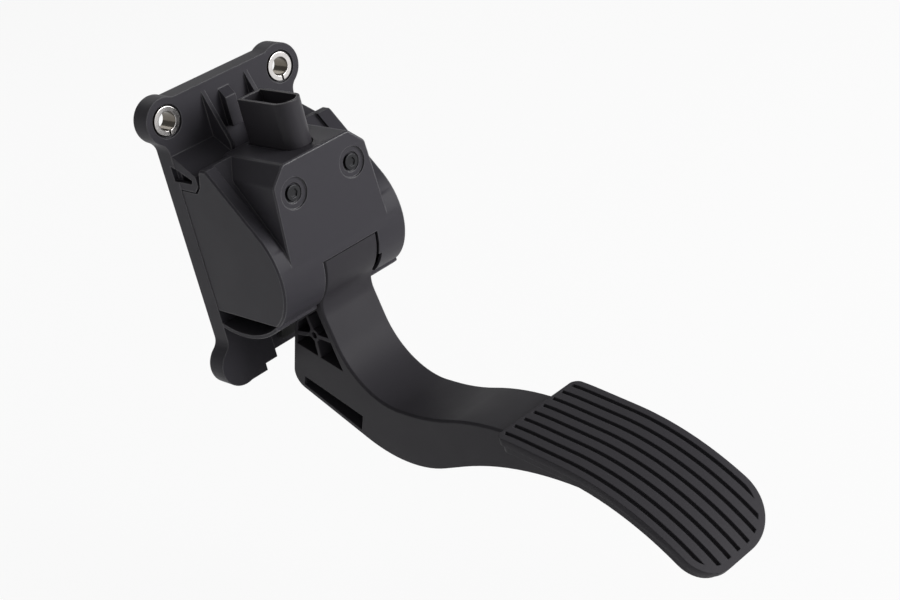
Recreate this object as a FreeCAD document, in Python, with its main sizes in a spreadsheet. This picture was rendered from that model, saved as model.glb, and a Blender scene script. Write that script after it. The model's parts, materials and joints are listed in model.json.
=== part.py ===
import FreeCAD, Part
import math
import os
from types import SimpleNamespace

import Sketcher

# Hanging accelerator pedal with its position sensor.
# Frame: +X to the driver's right along the pivot, +Y into the bulkhead, +Z up.
# Origin: on the mounting face, midway between the two upper bolt sleeves.
# Lengths in millimetres, angles in degrees.
SIZES = {
    # Bolt sleeves
    "sleeve_spacing": 62.0,
    "sleeve_outer": 12.6,
    "sleeve_bore": 8.2,
    "sleeve_slit": 0.6,
    "ring_gap": 0.9,
    "ring_depth": 1.2,
    # Bracket plate
    "plate_half": 34.5,
    "plate_top": 8.7,
    "plate_bottom": 122.0,
    "plate_depth": 9.6,
    "plate_skin": 3.2,
    "plate_rib": 3.0,
    "ear_radius": 10.3,
    "ear_blend": 6.0,
    "foot_drop": 115.5,
    "foot_bottom": 125.4,
    "foot_inner": 19.0,
    "core_top": 12.0,
    "core_height": 21.0,
    "core_rows": 4,
    # Bracket roof shelves, gussets and straps
    "left_roof_high": 14.8,
    "left_roof_low": 22.2,
    "right_roof_high": 18.6,
    "right_roof_low": 22.8,
    "roof_reach": 22.8,
    "roof_wall": 2.2,
    "cheek_drop": 29.8,
    "window_back": 6.9,
    "window_lean": 1.2,
    "window_sill": 3.6,
    "gusset_left": 10.5,
    "gusset_right": 12.8,
    "gusset_wall": 2.0,
    "gusset_top": 5.5,
    "gusset_reach": 20.4,
    "gusset_nose": 16.4,
    "block_half": 2.8,
    "block_reach": 3.6,
    "block_top": 3.0,
    "block_drop": 13.7,
    "strap_drop": 93.6,
    "strap_wall": 2.0,
    "strap_bow": 47.0,
    "strap_reach": 50.0,
    # Recess behind the arm
    "recess_gap": 1.2,
    "recess_top": 106.0,
    "recess_floor": 2.4,
    # Pivot
    "pivot_reach": 35.0,
    "pivot_drop": 64.5,
    "axle_radius": 4.0,
    "axle_gap": 0.05,
    "fixed_gap": 0.05,
    "bush_wall": 2.0,
    "bush_flange": 1.2,
    "bush_lip": 2.2,
    "bush_length": 9.0,
    "cap_radius": 5.6,
    "cap_depth": 1.2,
    # Housing
    "housing_width": 70.0,
    "housing_centre": 0.8,
    "housing_wall": 2.0,
    "drum_radius": 28.2,
    "drum_sole": 22.7,
    "drum_slope": 47.0,
    "drum_top": 18.9,
    "slope_sink": 1.6,
    "ridge_half": 28.5,
    "ridge_depth": 1.4,
    "side_break": 0.9,
    "hook_gap": 1.2,
    "hook_slit": 0.4,
    "hook_rise": 3.0,
    "boss_radius": 7.5,
    # Front panel and sensor box
    "panel_inset": 0.2,
    "panel_wall": 2.4,
    "panel_top": 18.5,
    "panel_top_half": 18.0,
    "panel_half": 25.3,
    "panel_foot_half": 27.8,
    "panel_corner": 7.5,
    "panel_break": 0.6,
    "box_back": 24.0,
    "box_round": 3.0,
    "bay_drop": 54.0,
    "slot_drop": 1.0,
    "slot_gap": 0.6,
    "notch_gap": 2.4,
    "notch_drop": 12.5,
    "notch_reach": 46.0,
    # Panel screws
    "screw_half": 16.0,
    "screw_drop": 32.0,
    "screw_head": 3.4,
    "screw_head_depth": 1.4,
    "screw_shank": 1.9,
    "screw_length": 9.0,
    "screw_socket": 1.9,
    "screw_well": 4.3,
    "screw_well_depth": 1.6,
    "screw_dish": 6.7,
    "screw_dish_depth": 0.8,
    # Sensor case with connector shroud
    "case_back": 31.5,
    "case_wall": 1.8,
    "case_bottom": 45.0,
    "case_gap": 0.15,
    "cover_depth": 1.8,
    "flange_depth": 2.0,
    "flange_half": 11.0,
    "shroud_half": 6.5,
    "shroud_back": 27.0,
    "shroud_front": 57.0,
    "shroud_wall": 1.4,
    "shroud_top": 1.5,
    "shroud_floor": 10.0,
    "shroud_round": 6.3,
    "mouth_gap": 0.7,
    "seal_depth": 1.8,
    "seal_width": 2.4,
    "board_depth": 1.6,
    "board_rise": 4.0,
    "board_gap": 0.5,
    "post_radius": 2.0,
    "terminal_rows": 2,
    "terminal_columns": 3,
    "terminal_first": 35.0,
    "terminal_pitch": 8.0,
    "terminal_spread": 4.4,
    "terminal_wide": 2.4,
    "terminal_thick": 0.8,
    "terminal_tip": 4.5,
    # Pedal arm
    "arm_width": 29.9,
    "arm_centre": 3.95,
    "arm_break": 0.9,
    "hub_radius": 26.3,
    "hub_gap": 0.45,
    "hub_rise": 32.0,
    "hub_face": 28.0,
    "hub_step": 0.5,
    "hub_fall": 44.0,
    "neck_round": 12.0,
    "neck_lean": 14.2,
    "neck_length": 12.2,
    "knee_radius": 33.0,
    "flat_length": 5.0,
    "rise_radius": 105.0,
    "rise_angle": 14.0,
    "crest_radius": 130.0,
    "crest_angle": 16.5,
    "tread_lead": 5.6,
    "tread_straight": 19.5,
    "tread_radius": 112.6,
    "tread_sweep": 37.1,
    "core_back": 7.0,
    "tip_depth": 7.5,
    "tip_radius": 80.0,
    "belly_radius": 170.0,
    "belly_angle": 19.5,
    "belly_length": 13.0,
    "heel_radius": 66.0,
    "heel_angle": 24.1,
    "heel_length": 41.0,
    "corner_radius": 7.0,
    "back_lean": 22.8,
    "back_length": 31.7,
    "shelf_inner": 4.0,
    "shelf_outer": 22.0,
    "shelf_rise": 2.0,
    "lug_inner": 12.0,
    "lug_drop": 5.0,
    "neck_back": 10.0,
    "neck_drop": 18.0,
    # Truss and side pocket of the arm
    "truss_depth": 22.0,
    "truss_front_rim": 3.6,
    "truss_back_rim": 1.8,
    "truss_front_top": 27.0,
    "truss_back_top": 36.0,
    "truss_back_bottom": 47.5,
    "truss_front_bottom": 55.5,
    "truss_web": 2.0,
    "truss_hub_back": 6.0,
    "truss_hub_drop": 40.5,
    "truss_boss": 3.0,
    "truss_hole": 1.5,
    "pocket_rim": 2.0,
    "pocket_depth": 12.0,
    "pocket_low": 7.0,
    "pocket_high": 10.5,
    "pocket_length": 37.0,
    # Tread pad
    "tread_width": 47.6,
    "tread_centre": 4.8,
    "tread_depth": 3.4,
    "tread_plate": 3.2,
    "tread_inset": 0.8,
    "tread_start_round": 4.0,
    "tread_left_round": 13.0,
    "tread_right_round": 22.0,
    "groove_count": 8,
    "groove_pitch": 5.65,
    "groove_width": 1.9,
    "groove_depth": 1.5,
    "groove_start": 1.6,
    "groove_rim": 2.9,
    # Return springs
    "coil_steps": 12,
    "spring_reach": 13.0,
    "spring_radius": 6.2,
    "spring_wire": 1.6,
    "spring_turns": 6,
    "inner_radius": 3.5,
    "inner_wire": 1.2,
    "inner_turns": 7,
    "seat_floor": 1.4,
    "seat_lip": 2.4,
    "seat_wall": 1.0,
    "abutment_drop": 27.0,
    "abutment_depth": 4.0,
    "abutment_half": 9.5,
    # Stops
    "stop_half": 12.0,
    "stop_gap": 0.3,
    "idle_reach": 19.0,
    "idle_depth": 2.4,
    "idle_ledge": 4.0,
    "full_half": 8.0,
    "full_top": 111.0,
    "full_height": 7.0,
    "full_depth": 3.4,
    # Magnets
    "carrier_half": 6.0,
    "carrier_front": 15.0,
    "carrier_back": 1.0,
    "carrier_height": 2.6,
    "magnet_side": 5.0,
    "magnet_depth": 1.8,
    "magnet_pitch": 7.0,
}


class Size:
    """A length or angle together with the sheet expression that gives it."""

    def __init__(self, value, text):
        self.value = value
        self.text = text

    def _join(self, other, sign, value):
        return Size(value, f"({self.text} {sign} {as_size(other).text})")

    def __add__(self, other):
        return self._join(other, "+", self.value + as_size(other).value)

    def __sub__(self, other):
        return self._join(other, "-", self.value - as_size(other).value)

    def __mul__(self, other):
        return self._join(other, "*", self.value * as_size(other).value)

    def __truediv__(self, other):
        return self._join(other, "/", self.value / as_size(other).value)

    def __neg__(self):
        return Size(-self.value, f"(0 - {self.text})")


def as_size(number):
    """Wrap a plain number as a size."""
    if isinstance(number, Size):
        return number
    return Size(float(number), repr(float(number)))


def sine(angle):
    """Sine of an angle in degrees."""
    return Size(math.sin(math.radians(angle.value)), f"sin({angle.text})")


def cosine(angle):
    """Cosine of an angle in degrees."""
    return Size(math.cos(math.radians(angle.value)), f"cos({angle.text})")


def tangent(angle):
    """Tangent of an angle in degrees."""
    return sine(angle) / cosine(angle)


def root(size):
    """Square root of a size."""
    return Size(math.sqrt(size.value), f"sqrt({size.text})")


doc = FreeCAD.newDocument("accelerator_pedal")
sheet = doc.addObject("Spreadsheet::Sheet", "sizes")
for row, (name, number) in enumerate(SIZES.items(), 1):
    sheet.set(f"A{row}", name)
    sheet.set(f"B{row}", str(number))
    sheet.setAlias(f"B{row}", name)
doc.recompute()

s = SimpleNamespace(**{name: Size(float(sheet.get(name)), f"sizes.{name}") for name in SIZES})
ZERO = as_size(0)
REACH = as_size(400)
# Depth that one form is sunk into another so that both join
SINK = as_size(1)

# Places shared by several pieces
front_y = -s.plate_depth
axis_y = -s.pivot_reach
axis_z = -s.pivot_drop
left_side = s.housing_centre - s.housing_width / 2
right_side = s.housing_centre + s.housing_width / 2
arm_left = s.arm_centre - s.arm_width / 2
arm_right = s.arm_centre + s.arm_width / 2
sole_z = axis_z - s.drum_sole
panel_y = axis_y - s.drum_radius + s.panel_inset
spring_y = axis_y + s.spring_reach
shelf_z = axis_z + s.shelf_rise
abutment_z = -s.abutment_drop - s.abutment_depth
hub_flat = s.hub_radius * sine(s.hub_rise)
hub_top_z = axis_z + hub_flat
bush_radius = s.axle_radius + s.axle_gap + s.bush_wall
case_front = panel_y + s.panel_wall + s.case_gap
case_top = -s.panel_top - s.panel_wall - s.seal_depth - s.fixed_gap * 2
case_floor = -s.case_bottom
bay_slope = (s.panel_half - s.panel_top_half - s.panel_wall / 2) / s.panel_corner
bay_half = s.panel_top_half - s.panel_wall / 2 + bay_slope * (s.seal_depth + s.fixed_gap * 2)
case_half = bay_half - s.case_gap
sleeve_x = s.sleeve_spacing / 2
slot_left = arm_left - s.slot_gap
slot_right = arm_right + s.slot_gap


def new_body(label):
    """Start a solid of the document."""
    return doc.addObject("PartDesign::Body", label)


def circle(across, up, radius):
    """A full circle of a sketch."""
    return ("circle", as_size(across), as_size(up), as_size(radius))


def box_loop(left, low, right, high):
    """A rectangle of a sketch from two opposite corners."""
    return [(left, low), (right, low), (right, high), (left, high)]


def bind(sketch, constraint, text):
    """Add a constraint to a sketch and tie it to the sheet."""
    index = sketch.addConstraint(constraint)
    sketch.setExpression(f"Constraints[{index}]", text)


def draw_circle(sketch, loop):
    """Draw a circle tied to its centre and radius."""
    across, up, radius = loop[1:]
    centre = FreeCAD.Vector(across.value, up.value, 0)
    curve = sketch.addGeometry(Part.Circle(centre, FreeCAD.Vector(0, 0, 1), radius.value))
    bind(sketch, Sketcher.Constraint("DistanceX", -1, 1, curve, 3, across.value), across.text)
    bind(sketch, Sketcher.Constraint("DistanceY", -1, 1, curve, 3, up.value), up.text)
    bind(sketch, Sketcher.Constraint("Radius", curve, radius.value), radius.text)


def arc_between(start, end, side, radius):
    """The shorter arc from start to end that turns left or right."""
    chord = end - start
    middle = (start + end) * 0.5
    height = math.sqrt(max(radius ** 2 - (chord.Length / 2) ** 2, 0.0))
    normal = FreeCAD.Vector(-chord.y, chord.x, 0).normalize()
    turn = 1 if side == "left" else -1
    centre = middle + normal * height * turn
    ends = [start, end] if side == "left" else [end, start]
    angles = [math.atan2(point.y - centre.y, point.x - centre.x) for point in ends]
    if angles[1] < angles[0]:
        angles[1] += 2 * math.pi
    whole = Part.Circle(centre, FreeCAD.Vector(0, 0, 1), radius)
    return Part.ArcOfCircle(whole, angles[0], angles[1])


def draw_outline(sketch, loop):
    """Draw a closed outline whose corners are tied to the sheet."""
    corners = [(as_size(corner[0]), as_size(corner[1])) for corner in loop]
    places = [FreeCAD.Vector(across.value, up.value, 0) for across, up in corners]
    edges = []
    for index, corner in enumerate(loop):
        start = places[index]
        end = places[(index + 1) % len(places)]
        if len(corner) == 2:
            edges.append((sketch.addGeometry(Part.LineSegment(start, end)), 1, 2))
            continue
        side, radius = corner[2]
        curve = sketch.addGeometry(arc_between(start, end, side, radius.value))
        bind(sketch, Sketcher.Constraint("Radius", curve, radius.value), radius.text)
        edges.append((curve, 1, 2) if side == "left" else (curve, 2, 1))
    for index, (curve, first, last) in enumerate(edges):
        before = edges[index - 1]
        across, up = corners[index]
        sketch.addConstraint(Sketcher.Constraint("Coincident", before[0], before[2], curve, first))
        bind(sketch, Sketcher.Constraint("DistanceX", -1, 1, curve, first, across.value), across.text)
        bind(sketch, Sketcher.Constraint("DistanceY", -1, 1, curve, first, up.value), up.text)


def draw(body, name, plane, loops, start):
    """Put a sketch on one of the body's own planes, moved along its normal."""
    sketch = body.newObject("Sketcher::SketchObject", name)
    origin_plane = next(item for item in body.Origin.OriginFeatures if item.Role == plane)
    sketch.AttachmentSupport = [(origin_plane, "")]
    sketch.MapMode = "FlatFace"
    sketch.setExpression("AttachmentOffset.Base.z", as_size(start).text)
    for loop in loops:
        if loop[0] == "circle":
            draw_circle(sketch, loop)
        else:
            draw_outline(sketch, loop)
    return sketch


def pad(body, name, plane, loops, start, length):
    """Add material along the plane's normal: +X from YZ, -Y from XZ, +Z from XY."""
    feature = body.newObject("PartDesign::Pad", name)
    feature.Profile = draw(body, f"{name}_sketch", plane, loops, start)
    feature.setExpression("Length", as_size(length).text)
    doc.recompute()
    return feature


def pocket(body, name, plane, loops, start, length):
    """Take material away along the plane's normal and prove that some went."""
    before = body.Shape.Volume
    feature = body.newObject("PartDesign::Pocket", name)
    feature.Profile = draw(body, f"{name}_sketch", plane, loops, start)
    feature.Reversed = True
    feature.setExpression("Length", as_size(length).text)
    doc.recompute()
    if not body.Shape.Volume < before:
        raise ValueError(f"{body.Label}: {name} takes nothing away")
    return feature


def ease_edges(body, name, kind, size, chosen):
    """Round or break the edges of the body's last feature that the test chooses."""
    feature = body.Tip
    names = [f"Edge{i}" for i, edge in enumerate(feature.Shape.Edges, 1) if chosen(edge)]
    eased = body.newObject(f"PartDesign::{kind}", name)
    eased.Base = (feature, names)
    eased.setExpression("Radius" if kind == "Fillet" else "Size", size.text)
    doc.recompute()
    return eased


def near(value, size):
    """Whether a coordinate lies on a size."""
    return abs(value - as_size(size).value) < 0.01


def combine(kind, label, first, *others):
    """A boolean of finished solids: Part::Cut, Part::MultiFuse or Part::MultiCommon."""
    feature = doc.addObject(kind, label)
    if kind == "Part::Cut":
        feature.Base = first
        feature.Tool = others[0]
    else:
        feature.Shapes = [first, *others]
    feature.Refine = True
    doc.recompute()
    return feature


def group(label, *solids):
    """Several separate solids in one node."""
    feature = doc.addObject("Part::Compound", label)
    feature.Links = list(solids)
    doc.recompute()
    return feature


def travel(point, heading, steps, shift=ZERO):
    """Follow straight and curved steps, moved sideways to the left by shift.

    Gives the corners with their bends, the end point and the last heading.
    """
    across = point[0] - sine(heading) * shift
    up = point[1] + cosine(heading) * shift
    corners = []
    for step in steps:
        if step[0] == "line":
            corners.append((across, up))
            across = across + cosine(heading) * step[1]
            up = up + sine(heading) * step[1]
            continue
        side, radius, turn = step
        if side == "left":
            radius = radius - shift
            after = heading + turn
            corners.append((across, up, (side, radius)))
            across = across + (sine(after) - sine(heading)) * radius
            up = up + (cosine(heading) - cosine(after)) * radius
        else:
            radius = radius + shift
            after = heading - turn
            corners.append((across, up, (side, radius)))
            across = across + (sine(heading) - sine(after)) * radius
            up = up + (cosine(after) - cosine(heading)) * radius
        heading = after
    return corners, (across, up), heading


def flipped(corners, end):
    """The same path walked the other way; it starts at its old end."""
    other = {"left": "right", "right": "left"}
    path = []
    points = [corner[:2] for corner in corners] + [end]
    for index in range(len(corners), 0, -1):
        bend = corners[index - 1][2:]
        if bend:
            side, radius = bend[0]
            path.append((*points[index], (other[side], radius)))
        else:
            path.append(points[index])
    return path


# Bracket

def plate_outline():
    """Plate without its round ears and feet."""
    half = s.plate_half
    foot_x = sleeve_x
    foot_z = -s.foot_drop
    low = -s.foot_bottom
    edge = -s.plate_bottom
    inner = s.foot_inner
    right = [
        (half, s.plate_top),
        (half, foot_z),
        (foot_x, foot_z),
        (foot_x, low),
        (inner, low),
        (inner, edge),
    ]
    left = [(-across, up) for across, up in reversed(right)]
    return right + left


def core_loops():
    """Pockets in the back of the plate, two columns with a rib between them."""
    loops = []
    pitch = s.core_height + s.plate_rib
    inner = s.plate_rib / 2
    outer = s.plate_half - s.plate_rib
    for index in range(int(s.core_rows.value)):
        high = -s.core_top - pitch * index
        low = high - s.core_height
        loops.append(box_loop(inner, low, outer, high))
        loops.append(box_loop(-outer, low, -inner, high))
    return loops


def roof_loop(high, low):
    """Section of a roof shelf that slopes from high down to low."""
    root_y = front_y + SINK
    tip_y = -s.roof_reach
    return [
        (root_y, -high),
        (front_y, -high),
        (tip_y, -low),
        (tip_y, -low - s.roof_wall),
        (root_y, -high - s.roof_wall),
    ]


def cheek_loop(high, low):
    """Side wall under a roof shelf."""
    root_y = front_y + SINK
    tip_y = -s.roof_reach
    sole = -s.cheek_drop
    return [
        (root_y, -high),
        (front_y, -high),
        (tip_y, -low),
        (tip_y, sole + s.hook_rise),
        (tip_y + s.hook_rise, sole),
        (root_y, sole),
    ]


def window_loop(high, low):
    """Window in the side wall, sunk into the edge of the plate."""
    far_y = -s.roof_reach + s.hook_rise
    sill = s.window_sill - s.cheek_drop
    return [
        (-s.window_back, -high - s.roof_wall * 2),
        (far_y, -low - s.roof_wall),
        (far_y + s.window_lean, sill),
        (-s.window_back, sill),
    ]


def gusset_loop(high, low):
    """Triangular gusset from the plate down to the roof shelf."""
    root_y = front_y + SINK
    nose_y = -s.gusset_reach
    return [
        (root_y, s.gusset_top),
        (front_y, s.gusset_top),
        (nose_y, -s.gusset_nose),
        (nose_y, -low),
        (root_y, -high - s.roof_wall),
    ]


def strap_loop():
    """Bowed strap that passes under the drum."""
    tip_z = sole_z - s.stop_gap
    tip_y = -s.strap_reach
    root_y = front_y + SINK
    return [
        (root_y, -s.strap_drop, ("right", s.strap_bow)),
        (tip_y, tip_z),
        (tip_y, tip_z - s.strap_wall, ("left", s.strap_bow + s.strap_wall)),
        (root_y, -s.strap_drop - s.strap_wall),
    ]


def make_bracket():
    """Moulded bracket with ears, feet, roof shelves, gussets, straps and inner ledges."""
    body = new_body("mounting_bracket")
    pad(body, "plate", "XZ_Plane", [plate_outline()], ZERO, s.plate_depth)
    discs = [circle(x, z, s.ear_radius) for x in (-sleeve_x, sleeve_x) for z in (ZERO, -s.foot_drop)]
    pad(body, "ears", "XZ_Plane", discs, ZERO, s.plate_depth)
    half = s.plate_half.value
    ease_edges(body, "ear_blends", "Fillet", s.ear_blend,
               lambda edge: near(abs(edge.CenterOfMass.x), half) and near(edge.BoundBox.XLength, 0)
               and near(edge.BoundBox.ZLength, 0))
    pocket(body, "cores", "XZ_Plane", core_loops(), ZERO, s.plate_depth - s.plate_skin)
    recess = box_loop(arm_left - s.recess_gap, -s.foot_bottom, arm_right + s.recess_gap, -s.recess_top)
    pocket(body, "arm_recess", "XZ_Plane", [recess], s.recess_floor, s.plate_depth)
    bore = s.sleeve_outer / 2 + s.fixed_gap
    bores = [circle(x, ZERO, bore) for x in (-sleeve_x, sleeve_x)]
    pocket(body, "sleeve_bores", "XZ_Plane", bores, ZERO, s.plate_depth)
    rings = [circle(x, ZERO, s.sleeve_outer / 2 + s.ring_gap) for x in (-sleeve_x, sleeve_x)]
    pocket(body, "sleeve_rings", "XZ_Plane", rings, s.plate_depth - s.ring_depth, s.ring_depth)

    half_wall = s.gusset_wall / 2
    gussets = {"left": -s.gusset_left - half_wall, "right": s.gusset_right - half_wall}
    roofs = {
        "left": (left_side, -s.gusset_left + half_wall - left_side),
        "right": (s.gusset_right - half_wall, right_side - s.gusset_right + half_wall),
    }
    heights = {"left": (s.left_roof_high, s.left_roof_low), "right": (s.right_roof_high, s.right_roof_low)}
    cheeks = {"left": left_side, "right": right_side - s.roof_wall}
    windows = {"left": left_side - SINK, "right": right_side - s.roof_wall}
    straps = {"left": (left_side, slot_left - left_side), "right": (slot_right, right_side - slot_right)}
    for side, levels in heights.items():
        pad(body, f"{side}_roof", "YZ_Plane", [roof_loop(*levels)], *roofs[side])
        pad(body, f"{side}_cheek", "YZ_Plane", [cheek_loop(*levels)], cheeks[side], s.roof_wall)
        pad(body, f"{side}_gusset", "YZ_Plane", [gusset_loop(*levels)], gussets[side], s.gusset_wall)
        pad(body, f"{side}_strap", "YZ_Plane", [strap_loop()], *straps[side])
        pocket(body, f"{side}_window", "YZ_Plane", [window_loop(*levels)], windows[side], s.roof_wall + SINK)

    block_y = front_y - s.block_reach
    block = [
        (front_y + SINK, s.block_top),
        (front_y, s.block_top),
        (block_y, s.block_top - s.block_reach),
        (block_y, -s.block_drop),
        (front_y + SINK, -s.block_drop),
    ]
    pad(body, "key_block", "YZ_Plane", [block], -s.block_half, s.block_half * 2)
    abutment = box_loop(spring_y - s.abutment_half, abutment_z, front_y + SINK, -s.abutment_drop)
    pad(body, "spring_abutment", "YZ_Plane", [abutment], s.arm_centre - s.abutment_half, s.abutment_half * 2)
    ledge_top = axis_z - s.lug_drop - s.stop_gap - s.idle_depth
    ledge = box_loop(-s.idle_reach, ledge_top - s.idle_ledge, front_y + SINK, ledge_top)
    pad(body, "idle_ledge", "YZ_Plane", [ledge], s.arm_centre - s.stop_half, s.stop_half * 2)
    return body


def make_sleeve(label, across):
    """Rolled steel sleeve with a slit, flush with the plate."""
    body = new_body(label)
    loops = [circle(across, ZERO, s.sleeve_outer / 2), circle(across, ZERO, s.sleeve_bore / 2)]
    pad(body, f"{label}_tube", "XZ_Plane", loops, ZERO, s.plate_depth)
    half = s.sleeve_slit / 2
    slit = box_loop(across - half, -s.sleeve_outer, across + half, ZERO)
    pocket(body, f"{label}_slit", "XZ_Plane", [slit], ZERO, s.plate_depth)
    return body


# Housing

def slope_place(radius, sink, along, out):
    """A point by the front slope, which lies below a round of the radius by sink.

    It starts where the slope meets the round and goes up along the slope and out from it.
    """
    slope = s.drum_slope
    level = radius - sink
    along = along - root(radius * radius - level * level)
    across = axis_y - (level + out) * sine(slope) + along * cosine(slope)
    up = axis_z + (level + out) * cosine(slope) + along * sine(slope)
    return across, up


def drum_loop(inset, radius, sink, rear_y):
    """Side outline of the drum, moved inwards by inset, open towards the plate."""
    hook_y = -s.roof_reach - s.hook_gap - inset
    hook_z = -s.cheek_drop - s.hook_slit - inset
    slope = s.drum_slope
    touch_y, touch_z = slope_place(radius, sink, ZERO, ZERO)
    top_z = -s.drum_top - inset - sink
    top_y = touch_y + (top_z - touch_z) / tangent(slope)
    low = sole_z + inset
    fall = axis_z - low
    toe_y = axis_y - root(radius * radius - fall * fall)
    return [
        (rear_y, hook_z),
        (hook_y + s.hook_rise, hook_z),
        (hook_y, hook_z + s.hook_rise),
        (hook_y - s.hook_rise, top_z),
        (top_y, top_z),
        (touch_y, touch_z, ("left", radius)),
        (toe_y, low),
        (rear_y, low),
    ]


def panel_loop(inset):
    """Front outline of the sensor box, moved inwards by inset."""
    top = -s.panel_top - inset
    shoulder = top - s.panel_corner
    right = [
        (s.panel_top_half - inset / 2, top),
        (s.panel_half - inset, shoulder),
    ]
    foot_z = axis_z if inset is ZERO else -s.bay_drop
    right.append((s.panel_foot_half - inset, foot_z))
    left = [(-across, up) for across, up in reversed(right)]
    return right + left


def make_drum():
    """Outer form of the drum with broken side edges and a sunk strip for the panel."""
    body = new_body("housing_drum")
    outline = drum_loop(ZERO, s.drum_radius, ZERO, front_y)
    pad(body, "drum", "YZ_Plane", [outline], left_side, s.housing_width)
    sides = (left_side.value, right_side.value)
    hook_end = -(s.roof_reach + s.hook_gap + s.hook_rise).value

    def on_side(edge):
        middle = edge.CenterOfMass
        outer = near(edge.BoundBox.XLength, 0) and any(near(middle.x, side) for side in sides)
        return outer and middle.y < hook_end and not near(middle.z, sole_z)

    ease_edges(body, "side_breaks", "Chamfer", s.side_break, on_side)
    length = s.drum_radius * 2
    ends = [(ZERO, ZERO), (length, ZERO), (length, s.drum_radius), (ZERO, s.drum_radius)]
    strip = [slope_place(s.drum_radius, s.ridge_depth, *end) for end in ends]
    pocket(body, "sunk_strip", "YZ_Plane", [strip], -s.ridge_half, s.ridge_half * 2)
    return body


def make_panel():
    """Outer form of the sensor box behind the flat front panel."""
    body = new_body("housing_panel")
    pad(body, "panel", "XZ_Plane", [panel_loop(ZERO)], s.box_back, -panel_y - s.box_back)
    low = axis_z.value
    depth = -panel_y.value - s.box_back.value
    ease_edges(body, "box_rounds", "Fillet", s.box_round,
               lambda edge: near(edge.BoundBox.YLength, depth) and edge.CenterOfMass.z > low + 1)
    ease_edges(body, "panel_breaks", "Chamfer", s.panel_break,
               lambda edge: near(edge.BoundBox.YMin, panel_y) and near(edge.BoundBox.YMax, panel_y)
               and not near(edge.CenterOfMass.z, low))
    return body


def make_cutter(label, plane, loops, start, length):
    """A solid that is taken away from another."""
    body = new_body(label)
    pad(body, f"{label}_pad", plane, loops, start, length)
    return body


def housing_cutters():
    """Hollows and openings of the housing."""
    wall = s.housing_wall
    rear = front_y + SINK
    inside = s.hub_radius + s.hub_gap
    hollow = drum_loop(wall, inside, s.slope_sink, rear)
    hub_bay = circle(axis_y, axis_z, inside)
    low = axis_z - s.drum_radius * 2
    slot = box_loop(panel_y - s.panel_wall, low, rear, axis_z - s.slot_drop)
    notch = box_loop(panel_y - s.panel_wall, low, -s.notch_reach, axis_z - s.notch_drop)
    slot_width = slot_right - slot_left
    spring_half = s.abutment_half + s.hook_gap
    spring_bay = box_loop(spring_y - spring_half, hub_top_z, rear, -s.panel_top - s.panel_wall)
    gap = s.mouth_gap
    mouth = rounded_loop(s.shroud_half + gap, s.shroud_back - gap, s.shroud_front + gap, s.shroud_round + gap)
    cutters = [
        make_cutter("drum_hollow", "YZ_Plane", [hollow], left_side + wall, s.housing_width - wall * 2),
        make_cutter("hub_bay", "YZ_Plane", [hub_bay], slot_left, slot_width),
        make_cutter("sensor_bay", "XZ_Plane", [panel_loop(s.panel_wall)], s.box_back,
                    -panel_y - s.box_back - s.panel_wall),
        make_cutter("arm_slot", "YZ_Plane", [slot], slot_left, slot_width),
        make_cutter("slot_notch", "YZ_Plane", [notch], slot_left, slot_width + s.notch_gap - s.slot_gap),
        make_cutter("spring_bay", "YZ_Plane", [spring_bay], s.arm_centre - spring_half, spring_half * 2),
        make_cutter("shroud_mouth", "XY_Plane", [mouth], case_top, -case_top),
    ]
    steps = {
        "hole": (s.screw_shank + s.fixed_gap, s.box_back),
        "well": (s.screw_well, -panel_y - s.screw_well_depth),
        "dish": (s.screw_dish, -panel_y - s.screw_dish_depth),
    }
    for side, across in {"left": -s.screw_half, "right": s.screw_half}.items():
        for name, (radius, start) in steps.items():
            disc = circle(across, -s.screw_drop, radius)
            cutters.append(make_cutter(f"{side}_screw_{name}", "XZ_Plane", [disc], start, REACH))
    return cutters


def make_bosses():
    """Axle bosses that grow inwards from the side walls."""
    body_left = new_body("left_boss")
    body_right = new_body("right_boss")
    disc = [circle(axis_y, axis_z, s.boss_radius)]
    clear = s.bush_flange + s.stop_gap
    end_left = arm_left - clear
    start_right = arm_right + clear
    inner = s.housing_wall / 2
    pad(body_left, "left_boss_pad", "YZ_Plane", disc, left_side + inner, end_left - left_side - inner)
    pad(body_right, "right_boss_pad", "YZ_Plane", disc, start_right, right_side - start_right - inner)
    return body_left, body_right


def make_housing():
    """Drum housing with panel, hollow inside, slotted for the arm and bored for the axle."""
    outer = combine("Part::MultiFuse", "housing_outer", make_drum(), make_panel())
    hollows = combine("Part::MultiFuse", "housing_hollows", *housing_cutters())
    shell = combine("Part::Cut", "housing_shell", outer, hollows)
    bossed = combine("Part::MultiFuse", "housing_bossed", shell, *make_bosses())
    bore = [circle(axis_y, axis_z, s.axle_radius + s.fixed_gap)]
    seat = [circle(axis_y, axis_z, s.cap_radius + s.fixed_gap)]
    start = left_side + s.housing_wall
    bores = combine(
        "Part::MultiFuse", "housing_bores",
        make_cutter("axle_bore", "YZ_Plane", bore, start, REACH),
        make_cutter("cap_seat", "YZ_Plane", seat, right_side - s.cap_depth, REACH))
    return combine("Part::Cut", "drum_housing", bossed, bores)


def make_screws():
    """Two pan-head screws with a hexagon socket, through the front panel."""
    screws = []
    head_y = -panel_y - s.screw_well_depth
    for index, across in enumerate((-s.screw_half, s.screw_half)):
        body = new_body(f"panel_screw_{index}")
        pad(body, f"head_{index}", "XZ_Plane", [circle(across, -s.screw_drop, s.screw_head)], head_y,
            s.screw_head_depth)
        pad(body, f"shank_{index}", "XZ_Plane", [circle(across, -s.screw_drop, s.screw_shank)],
            head_y - s.screw_length, s.screw_length)
        turns = [as_size(60 * step) for step in range(6)]
        socket = [(across + cosine(turn) * s.screw_socket, sine(turn) * s.screw_socket - s.screw_drop)
                  for turn in turns]
        pocket(body, f"socket_{index}", "XZ_Plane", [socket], head_y + s.screw_head_depth / 2,
               s.screw_head_depth)
        screws.append(body)
    return group("panel_screws", *screws)


# Sensor

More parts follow.
